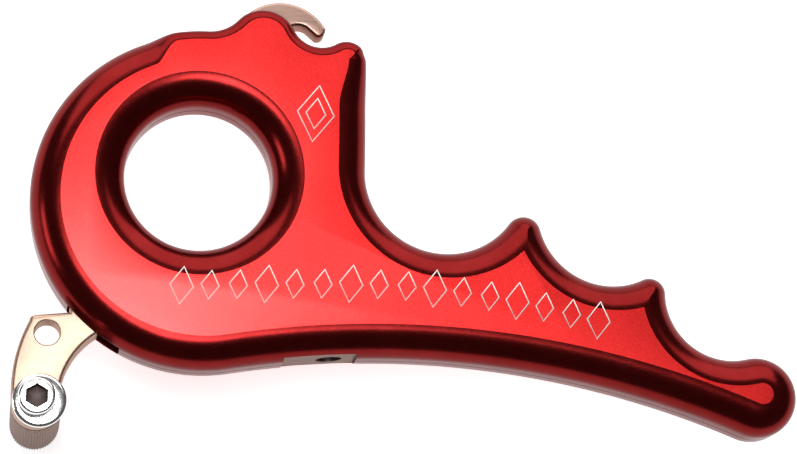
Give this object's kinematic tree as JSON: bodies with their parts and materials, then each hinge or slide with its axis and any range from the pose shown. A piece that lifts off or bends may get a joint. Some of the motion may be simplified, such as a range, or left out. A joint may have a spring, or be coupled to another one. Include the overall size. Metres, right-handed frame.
{
  "type": "handheld release aid",
  "caption": "Hand-held release aid: two anodised case halves with an index finger hole and finger hollows, a pivoting rope hook on a sprung sear, and a thumb lever with a knurled barrel.",
  "frame": {"origin": "centre of the index finger hole on the parting plane between the two case halves", "axes": "+Z out of the front face along the finger hole, +X along the grip towards its tail, +Y towards the rope hook"},
  "size_m": [0.1181, 0.0665, 0.0289],
  "materials": {
    "anodised_front": "satin red anodised",
    "anodised_rear": "satin red anodised",
    "hook_steel": "ground, tumbled",
    "pin_steel": "ground",
    "spring_wire": "bright wire",
    "screw_steel": "black oxide",
    "block_steel": "satin",
    "lever_steel": "fine brushed",
    "bright_screw": "polished",
    "bright_washer": "polished",
    "barrel_steel": "knurled"
  },
  "bodies": {
    "case": {"front_case": "anodised_front", "rear_case": "anodised_rear", "hook_pin": "pin_steel", "sear_pin": "pin_steel", "sear_stop_pin": "pin_steel", "lever_pin": "pin_steel", "adjuster_block": "block_steel", "case_screws": "screw_steel", "dowel_pins": "pin_steel", "tension_spring": "spring_wire", "hook_spring": "spring_wire", "lever_spring": "spring_wire"},
    "hook": {"hook": "hook_steel"},
    "sear": {"sear": "hook_steel"},
    "plunger": {"spring_plunger": "pin_steel"},
    "adjuster": {"tension_screw": "screw_steel", "spring_seat": "pin_steel"},
    "lever": {"thumb_lever": "lever_steel", "barrel_screw": "bright_screw", "barrel_washer": "bright_washer", "thumb_barrel": "barrel_steel"}
  },
  "joints": [
    {"name": "hook_pivot", "type": "hinge", "parent": "case", "child": "hook", "pos_m": [0.0108, 0.0196, 0], "axis": [0, 0, 1], "range_deg": [0, 40], "stiffness_Nm_per_rad": 0.004, "springref_deg": -11.46, "deforming": ["hook_spring"]},
    {"name": "sear_pivot", "type": "hinge", "parent": "case", "child": "sear", "pos_m": [0.0186, 0.0006, 0], "axis": [0, 0, 1], "range_deg": [-13.4, 0]},
    {"name": "plunger_slide", "type": "slide", "parent": "case", "child": "plunger", "axis": [0, 1, 0], "range_m": [-0.00033, 0], "deforming": ["tension_spring"]},
    {"name": "tension_adjust", "type": "slide", "parent": "case", "child": "adjuster", "axis": [0, 1, 0], "range_m": [0, 0.0015], "deforming": ["tension_spring"]},
    {"name": "lever_pivot", "type": "hinge", "parent": "case", "child": "lever", "pos_m": [-0.0155, -0.0125, 0], "axis": [0, 0, 1], "range_deg": [0, 6], "stiffness_Nm_per_rad": 0.05, "springref_deg": -5.73, "deforming": ["lever_spring"]}
  ],
  "couplings": [
    {"joint": "sear_pivot", "follows": "hook_pivot", "ratio": -0.33333},
    {"joint": "plunger_slide", "follows": "hook_pivot", "m_per_rad": -0.000453}
  ]
}
